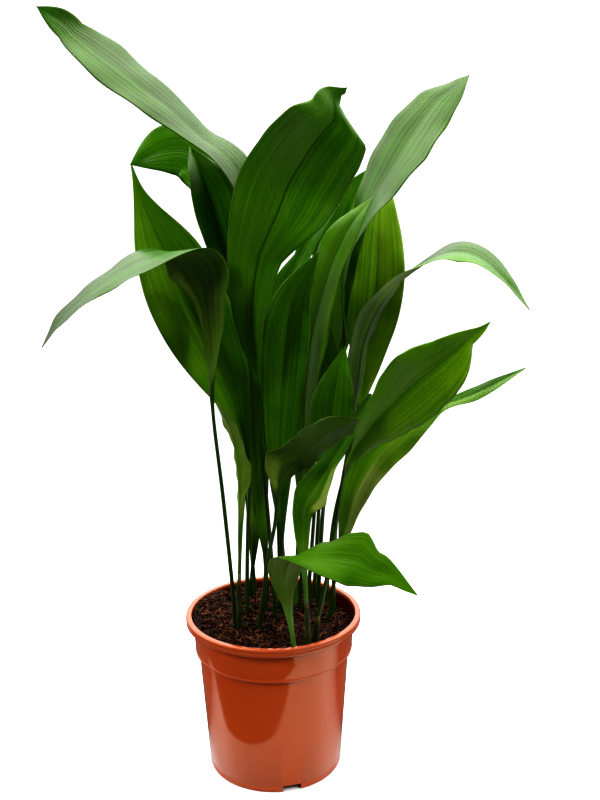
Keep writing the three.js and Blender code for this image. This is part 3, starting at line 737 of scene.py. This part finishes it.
def build_sheath(node):
    """A sheath round a stalk's foot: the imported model's sleeve, smoothed and roughened at its edges."""
    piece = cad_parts[node].copy()
    piece.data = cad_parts[node].data.copy()
    piece.name = node.replace("sheath_", "dry_sheath_")
    for key in list(piece.keys()):
        del piece[key]
    piece.parent = None
    bpy.context.scene.collection.objects.link(piece)
    make_active(piece)
    bpy.ops.object.mode_set(mode="EDIT")
    bpy.ops.mesh.select_all(action="SELECT")
    bpy.ops.mesh.remove_doubles(threshold=0.01 * MM)
    bpy.ops.mesh.tris_convert_to_quads()
    bpy.ops.object.mode_set(mode="OBJECT")
    apply_modifier(piece, "SUBSURF", levels=2, render_levels=2)
    low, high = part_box(node)
    noise.seed_set(ROUGHENING_SEED)
    rises = []
    for vertex in piece.data.vertices:
        rise = (vertex.co.z - low.z) / (high.z - low.z)
        rises.append(rise)
        vertex.co += noise.noise_vector(vertex.co * 260) * 0.25 * MM
    point_attribute(piece, "rise", rises)
    return piece


# ---------------------------------------------------------------- pot

POT_SEGMENTS = 144
NOTCHES = 3
NOTCH_SIZE = (14 * MM, 22 * MM, 16 * MM)
NOTCH_TURN = -75
FOOT_RADIUS = 80.5
DRAIN_HOLES = 6
DRAIN_RADIUS = 5 * MM
DRAIN_CIRCLE = 53 * MM
# [radius, height] in mm: up the outside from the pad under the pot, over the lip and down the inside.
POT_SECTION = [
    (30, 0), (34, 4), (74.5, 4), (75.5, 0), (79.6, 0), (80.3, 0.4), (80.55, 1.2),
    (80.9, 6.6), (80.75, 7.0), (80.98, 7.5),
    (85.6, 75), (90.35, 145.6), (90.5, 146.9), (90.9, 147.4), (94.2, 147.7), (94.6, 148), (94.75, 148.5),
    (94.95, 150), (94.9, 150.4), (94.45, 150.9), (94.6, 151.4),
    (95.8, 168), (96.8, 182.6), (97.1, 184), (99.2, 190.6), (100, 191.5), (102.8, 191.5),
    (103.5, 190.8), (103.5, 184.6), (103.8, 184), (104.6, 184), (104.95, 184.4), (105, 186),
    (105, 188.2), (104.7, 188.6), (104.7, 189.2), (105, 189.6), (105, 190.9), (104.6, 192.1),
    (103.6, 192.85), (102.2, 193), (99.6, 193), (98.7, 192.8), (98.2, 192.1),
    (96, 184), (93, 149.5), (89.1, 146.6), (79.4, 5.5), (33, 5.5), (29, 1.5),
]  # fmt: skip


def turned_piece(name, section, segments):
    """A disc whose rim is drawn out ring by ring along a section, and closed with its last ring."""
    radius, height = section[0]
    bpy.ops.mesh.primitive_circle_add(
        vertices=segments, radius=radius * MM, fill_type="NGON", location=(0, 0, height * MM)
    )
    piece = bpy.context.active_object
    piece.name = name
    bpy.ops.object.transform_apply(location=True, rotation=True, scale=True)
    bpy.ops.object.mode_set(mode="EDIT")
    bpy.ops.mesh.select_mode(type="EDGE")
    bpy.ops.mesh.select_all(action="SELECT")
    for next_radius, next_height in section[1:]:
        step = (0, 0, (next_height - height) * MM)
        bpy.ops.mesh.extrude_edges_move(TRANSFORM_OT_translate={"value": step})
        ratio = next_radius / radius
        bpy.ops.transform.resize(value=(ratio, ratio, 1), center_override=(0, 0, 0))
        radius, height = next_radius, next_height
    bpy.ops.mesh.edge_face_add()
    bpy.ops.mesh.select_all(action="SELECT")
    bpy.ops.mesh.normals_make_consistent(inside=False)
    bpy.ops.object.mode_set(mode="OBJECT")
    return piece


def cut_away(piece, cutter):
    apply_modifier(piece, "BOOLEAN", operation="DIFFERENCE", solver="EXACT", object=cutter)
    bpy.data.objects.remove(cutter)


def build_pot():
    pot = turned_piece("nursery_pot", POT_SECTION, POT_SEGMENTS)
    for index in range(NOTCHES):
        angle = math.radians(NOTCH_TURN) + index * TURN / NOTCHES
        reach = FOOT_RADIUS * MM
        bpy.ops.mesh.primitive_cube_add(
            size=1, location=(reach * math.cos(angle), reach * math.sin(angle), 0), rotation=(0, 0, angle)
        )
        cutter = bpy.context.active_object
        cutter.scale = NOTCH_SIZE
        bpy.ops.object.transform_apply(location=True, rotation=True, scale=True)
        apply_modifier(cutter, "BEVEL", width=1.2 * MM, segments=3, limit_method="ANGLE")
        cut_away(pot, cutter)
    for index in range(DRAIN_HOLES):
        angle = index * TURN / DRAIN_HOLES
        place = (DRAIN_CIRCLE * math.cos(angle), DRAIN_CIRCLE * math.sin(angle), 4 * MM)
        bpy.ops.mesh.primitive_cylinder_add(vertices=32, radius=DRAIN_RADIUS, depth=16 * MM, location=place)
        cutter = bpy.context.active_object
        bpy.ops.object.transform_apply(location=True, rotation=True, scale=True)
        cut_away(pot, cutter)
    sharp = math.radians(40)
    apply_modifier(pot, "BEVEL", width=0.25 * MM, segments=2, limit_method="ANGLE", angle_limit=sharp)
    make_active(pot)
    bpy.ops.object.shade_smooth_by_angle(angle=math.radians(50))
    return pot


# ---------------------------------------------------------------- soil

SOIL_RINGS = 90
SOIL_SEGMENTS = 288
HEAP = (-68 * MM, 42 * MM)  # where the mix is heaped up against the wall
HEAP_SIZE = 38 * MM
CRUMBS = 3000
BARK_CHIPS = 300
FIBRES = 220
LITTER_REACH = 94  # mm from the pot's middle
FIBRE_REACH = 90
LOWEST_LITTER = 0.168  # nothing lies lower, down a stalk's socket
random_numbers = np.random.default_rng(7)


def surface_finder(node):
    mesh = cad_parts[node].data
    tree = BVHTree.FromPolygons([v.co for v in mesh.vertices], [p.vertices for p in mesh.polygons])

    def height(x, y):
        hit = tree.ray_cast(Vector((x, y, 1)), Vector((0, 0, -1)))[0]
        return hit.z if hit else None

    return height


def clump(x, y):
    """How far the mix stands up from its mean level, in metres."""
    place = Vector((x, y, 0))
    heap = 4.5 * math.exp(-(((x - HEAP[0]) ** 2 + (y - HEAP[1]) ** 2) / HEAP_SIZE**2))
    lumps = noise.noise(place * 45) * 3.0
    clods = noise.noise(place * 120 + Vector((5, 3, 1))) * 2.6
    crumbs = (0.5 - noise.voronoi(place * 230)[0][0]) * 2.6
    return (heap + lumps + clods + crumbs) * MM


def build_soil():
    low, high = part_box("soil")
    height = surface_finder("soil")
    floor = low.z
    points, faces = [], []

    def level(x, y):
        found = height(x, y)
        return found if found is not None and found > high.z - 40 * MM else high.z - 15 * MM

    wall = []
    for k in range(SOIL_SEGMENTS):
        angle = TURN * k / SOIL_SEGMENTS
        wall.append((math.cos(angle), math.sin(angle)))
    edge = 96.3 * MM
    for ring in range(SOIL_RINGS, 0, -1):
        for cos, sin in wall:
            radius = edge * ring / SOIL_RINGS
            x, y = radius * cos, radius * sin
            z = level(min(radius, 92 * MM) * cos, min(radius, 92 * MM) * sin) + clump(x, y)
            inner = (93 + (z / MM - 149.5) * 3 / 34.5) * MM
            if radius > inner - 0.6 * MM:
                x, y = (inner - 0.6 * MM) * cos, (inner - 0.6 * MM) * sin
            points.append((x, y, z))
    for ring in range(SOIL_RINGS - 1):
        for k in range(SOIL_SEGMENTS):
            a, n = ring * SOIL_SEGMENTS, (k + 1) % SOIL_SEGMENTS
            faces.append((a + k, a + n, a + SOIL_SEGMENTS + n, a + SOIL_SEGMENTS + k))
    points.append((0, 0, level(0, 0) + clump(0, 0)))
    centre = len(points) - 1
    inner_ring = (SOIL_RINGS - 1) * SOIL_SEGMENTS
    for k in range(SOIL_SEGMENTS):
        faces.append((inner_ring + k, inner_ring + (k + 1) % SOIL_SEGMENTS, centre))
    ring_above = 0
    for radius, z in ((92.4, 151), (88.6, 146), (79.0, 5.9)):
        base = len(points)
        points.extend((radius * MM * cos, radius * MM * sin, max(z * MM, floor)) for cos, sin in wall)
        for k in range(SOIL_SEGMENTS):
            n = (k + 1) % SOIL_SEGMENTS
            faces.append((base + k, base + n, ring_above + n, ring_above + k))
        ring_above = base
    faces.append(tuple(ring_above + k for k in reversed(range(SOIL_SEGMENTS))))
    soil = mesh_piece("potting_mix", points, faces)
    # Painted shade: the mix is darker in its hollows and lighter on its lumps, following the clump height.
    tint_and_painted_shade = [0.34 + 55 * clump(p[0], p[1]) for p in points]
    point_attribute(soil, "tint_and_painted_shade", tint_and_painted_shade)
    return soil


def scattered(name, base_points, base_faces, count, size, lie, tint_and_painted_shade, lift):
    """Many copies of one small shape on the soil, in one mesh. size and shade are (low, high) ranges."""
    height = surface_finder("soil")
    points, faces, shades = [], [], []
    placed = 0
    while placed < count:
        radius = LITTER_REACH * math.sqrt(random_numbers.random()) * MM
        angle = TURN * random_numbers.random()
        x, y = radius * math.cos(angle), radius * math.sin(angle)
        z = height(x, y)
        spin = Matrix.Rotation(TURN * random_numbers.random(), 3, "Z")
        tilt = Matrix.Rotation(random_numbers.normal(0, lie), 3, "X")
        tilt = tilt @ Matrix.Rotation(random_numbers.normal(0, lie), 3, "Y")
        scale = [random_numbers.uniform(low, high) * MM for low, high in size]
        jitter = random_numbers.normal(0, 0.12, (len(base_points), 3))
        tint = random_numbers.uniform(*tint_and_painted_shade)
        if z is None or z < LOWEST_LITTER:
            continue
        start = len(points)
        for p, j in zip(base_points, jitter):
            local = Vector([(p[k] + j[k]) * scale[k] for k in range(3)])
            points.append(Vector((x, y, z + clump(x, y) + lift * scale[2])) + spin @ (tilt @ local))
        faces.extend(tuple(start + i for i in face) for face in base_faces)
        shades.extend([tint] * len(base_points))
        placed += 1
    piece = mesh_piece(name, points, faces)
    point_attribute(piece, "tint_and_painted_shade", shades)
    return piece


def primitive_shape(make):
    """The points and faces of a primitive, which is then taken away."""
    make()
    shape = bpy.context.active_object
    points = [tuple(v.co) for v in shape.data.vertices]
    faces = [tuple(f.vertices) for f in shape.data.polygons]
    bpy.data.objects.remove(shape)
    return points, faces


def build_litter():
    crumb = primitive_shape(lambda: bpy.ops.mesh.primitive_ico_sphere_add(subdivisions=1, radius=0.5))
    block = primitive_shape(lambda: bpy.ops.mesh.primitive_cube_add(size=1))
    crumb_size = [(1.0, 4.2), (1.0, 3.4), (1.0, 3.2)]
    chip_size = [(3, 11), (1.5, 4), (0.7, 2.0)]
    crumbs = scattered("soil_crumbs", *crumb, CRUMBS, crumb_size, 0.5, (0.0, 0.75), 0.3)
    chips = scattered("bark_chips", *block, BARK_CHIPS, chip_size, 0.5, (0.0, 0.7), 0.8)
    return crumbs, chips


def build_fibres():
    """Thin curved fibres of coir and root on the soil, each a three-sided thread."""
    height = surface_finder("soil")
    points, faces, shades = [], [], []
    for _ in range(FIBRES):
        radius = FIBRE_REACH * math.sqrt(random_numbers.random()) * MM
        angle = TURN * random_numbers.random()
        heading = TURN * random_numbers.random()
        bend = random_numbers.normal(0, 0.5)
        length = random_numbers.uniform(8, 26) * MM
        thick = random_numbers.uniform(0.25, 0.55) * MM
        tint = random_numbers.uniform(0.4, 1.0)
        rise = random_numbers.uniform(0.3, 2.2) * MM
        x, y = radius * math.cos(angle), radius * math.sin(angle)
        rings = []
        steps = 7
        for step in range(steps):
            z = height(x, y)
            if z is None or z < LOWEST_LITTER or math.hypot(x, y) > 93 * MM:
                break
            z += clump(x, y) * 0.6 + rise * (1 + math.sin(math.pi * step / (steps - 1)))
            across = Vector((-math.sin(heading), math.cos(heading), 0))
            taper = thick * (1 - 0.6 * step / steps)
            ring = []
            for a in (0.5, 2.6, 4.7):
                upright = Vector((0, 0, taper * math.sin(a)))
                ring.append(Vector((x, y, z)) + across * taper * math.cos(a) + upright)
            rings.append(ring)
            x += math.cos(heading) * length / steps
            y += math.sin(heading) * length / steps
            heading += bend / 2
        if len(rings) < 3:
            continue
        start = len(points)
        for ring in rings:
            points.extend(ring)
            shades.extend([tint] * 3)
        for r in range(len(rings) - 1):
            for k in range(3):
                n = (k + 1) % 3
                a = start + 3 * r
                faces.append((a + k, a + n, a + 3 + n, a + 3 + k))
        faces.append((start + 2, start + 1, start))
        top = start + 3 * (len(rings) - 1)
        faces.append((top, top + 1, top + 2))
    piece = mesh_piece("soil_fibres", points, faces)
    point_attribute(piece, "tint_and_painted_shade", shades)
    return piece


# ---------------------------------------------------------------- camera, floor and light

CAMERA_PLACE = Vector((34.6, -1118, 710)) * MM
CAMERA_PITCH = -12.97
CAMERA_ROLL = -0.58
CARD_LENGTH, CARD_WIDTH = 6.0, 2.4
CARD_DISTANCE = 0.149 + CARD_WIDTH / 2  # from the pot's middle to the card's
CARD_TURN = math.radians(-34.5)  # from straight in front, towards the left


def set_stage():
    camera = bpy.data.cameras.new("camera")
    camera.lens = 45
    camera.sensor_fit = "VERTICAL"
    camera.sensor_height = 36
    camera.clip_end = 50
    holder = bpy.data.objects.new("camera", camera)
    bpy.context.scene.collection.objects.link(holder)
    aim = Matrix.Rotation(math.radians(90 + CAMERA_PITCH), 4, "X")
    roll = Matrix.Rotation(math.radians(CAMERA_ROLL), 4, "Z")
    holder.matrix_world = Matrix.Translation(CAMERA_PLACE) @ aim @ roll
    bpy.context.scene.camera = holder

    bpy.ops.mesh.primitive_circle_add(vertices=96, radius=3, fill_type="NGON", location=(0, 0, 0))
    floor = bpy.context.active_object
    floor.name = "floor"
    # Matt white paper, fading into the white studio further out. It is dulled to grey for bounced light, and
    # behind the pot it shows dark grey in gloss, a painted reflection.
    material, tree, output = new_material("matt_white_paper")
    path = add(tree, "ShaderNodeLightPath")
    paper = blend_colours(tree, path.outputs["Is Diffuse Ray"], colour("#f6f6f4"), colour("#9c9c9a"))
    place = add(tree, "ShaderNodeTexCoord").outputs["Object"]
    depth = add(tree, "ShaderNodeSeparateXYZ", {"Vector": place}).outputs["Y"]
    behind = rescale(tree, depth, -0.05, 0.05, 0, 1)
    painted_dark_reflection = calc(tree, "MULTIPLY", path.outputs["Is Glossy Ray"], behind)
    paper = blend_colours(tree, painted_dark_reflection, paper, colour("#303030"))
    surface = add(tree, "ShaderNodeBsdfPrincipled", {"Base Color": paper, "Roughness": 0.9})
    distance = add(tree, "ShaderNodeVectorMath", {0: place}, operation="LENGTH").outputs["Value"]
    share = rescale(tree, distance, 0.35, 0.8, 0, 1)
    clear = tree.nodes.new("ShaderNodeBsdfTransparent")
    mix = add(tree, "ShaderNodeMixShader", {0: share, 1: surface.outputs[0], 2: clear.outputs[0]})
    tree.links.new(mix.outputs[0], output.inputs["Surface"])
    floor.data.materials.append(material)

    # Painted reflection: a black card with a straight edge lies at the front left, seen only in the gloss of
    # the pot, where it paints the dark patch that the pot reflects.
    bpy.ops.mesh.primitive_plane_add(
        size=1,
        location=(CARD_DISTANCE * math.sin(CARD_TURN), -CARD_DISTANCE * math.cos(CARD_TURN), 0.5 * MM),
        rotation=(0, 0, CARD_TURN),
    )
    card = bpy.context.active_object
    card.name = "painted_reflection_card"
    card.scale = (CARD_LENGTH, CARD_WIDTH, 1)
    bpy.ops.object.transform_apply(location=True, rotation=True, scale=True)
    material, tree, output = new_material("painted_reflection_card")
    surface = add(tree, "ShaderNodeBsdfPrincipled", {"Base Color": colour("#050505"), "Roughness": 0.9})
    tree.links.new(surface.outputs[0], output.inputs["Surface"])
    card.data.materials.append(material)
    card.visible_camera = card.visible_diffuse = card.visible_shadow = card.visible_transmission = False

    def softbox(name, place, target, size, power):
        light = bpy.data.lights.new(name, "AREA")
        light.shape = "RECTANGLE"
        light.size, light.size_y = size
        light.energy = power
        box = bpy.data.objects.new(name, light)
        bpy.context.scene.collection.objects.link(box)
        box.visible_glossy = False
        box.location = place
        box.rotation_euler = (Vector(target) - Vector(place)).to_track_quat("-Z", "Y").to_euler()

    softbox("top_softbox", (0, 0.7, 2.7), (0, 0.3, 0.5), (4.4, 2.4), 150)
    softbox("left_softbox", (-1.5, -1.5, 2.0), (0, 0, 0.4), (0.8, 0.8), 34)
    softbox("right_softbox", (1.7, -1.2, 1.7), (0, 0, 0.4), (0.8, 0.8), 26)

    world = bpy.data.worlds.new("studio")
    bpy.context.scene.world = world
    world.use_nodes = True
    tree = world.node_tree
    tree.nodes.clear()
    heading = add(tree, "ShaderNodeTexCoord").outputs["Generated"]
    parts = add(tree, "ShaderNodeSeparateXYZ", {"Vector": heading})
    height = rescale(tree, parts.outputs["Z"], 0.0, 0.8, 0.6, 1.4)
    depth = rescale(tree, parts.outputs["Y"], -0.6, 0.5, 0.05, 1.0)
    path = add(tree, "ShaderNodeLightPath")
    # Gloss sees a brighter ceiling towards the back than the one that lights the room.
    overhead = rescale(tree, parts.outputs["Z"], 0.1, 0.95, 0, 4)
    backward = rescale(tree, parts.outputs["Y"], -0.15, 0.15, 0, 1)
    ceiling = calc(tree, "MULTIPLY", path.outputs["Is Glossy Ray"], overhead)
    ceiling = calc(tree, "MULTIPLY", ceiling, backward)
    power = calc(tree, "MULTIPLY_ADD", height, depth, ceiling)
    lit = add(tree, "ShaderNodeBackground", {"Color": (1, 1, 1, 1), "Strength": power})
    seen = add(tree, "ShaderNodeBackground", {"Color": (1, 1, 1, 1), "Strength": 1.0})
    mix_inputs = {0: path.outputs["Is Camera Ray"], 1: lit.outputs[0], 2: seen.outputs[0]}
    mix = add(tree, "ShaderNodeMixShader", mix_inputs)
    output = tree.nodes.new("ShaderNodeOutputWorld")
    tree.links.new(mix.outputs[0], output.inputs["Surface"])
    bpy.context.scene.view_settings.view_transform = "Standard"
    bpy.context.scene.view_settings.look = "High Contrast"


# ---------------------------------------------------------------- the whole object

set_stage()
select_none()

tissue = leaf_tissue()
for index, leaf_name in enumerate(LEAVES):
    finish_piece(build_leaf(leaf_name, index + 1), tissue, "leaf", leaf_name)

scale_skin = dry_scale()
for sheath_name in [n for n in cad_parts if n.startswith("sheath_")]:
    finish_piece(build_sheath(sheath_name), scale_skin, "sheath", sheath_name)

finish_piece(build_pot(), pot_plastic(), "pot", "pot")

mix = potting_mix("moist_bark_and_peat", "#060201", "#1d0d05", "#4a2814")
finish_piece(build_soil(), mix, "soil", "soil")
litter = potting_mix("loose_bark", "#0b0401", "#2b1306", "#683a1d")
for piece in build_litter():
    finish_piece(piece, litter, "soil")
finish_piece(build_fibres(), potting_mix("coir_fibre", "#34180a", "#683a1c", "#966640"), "soil")
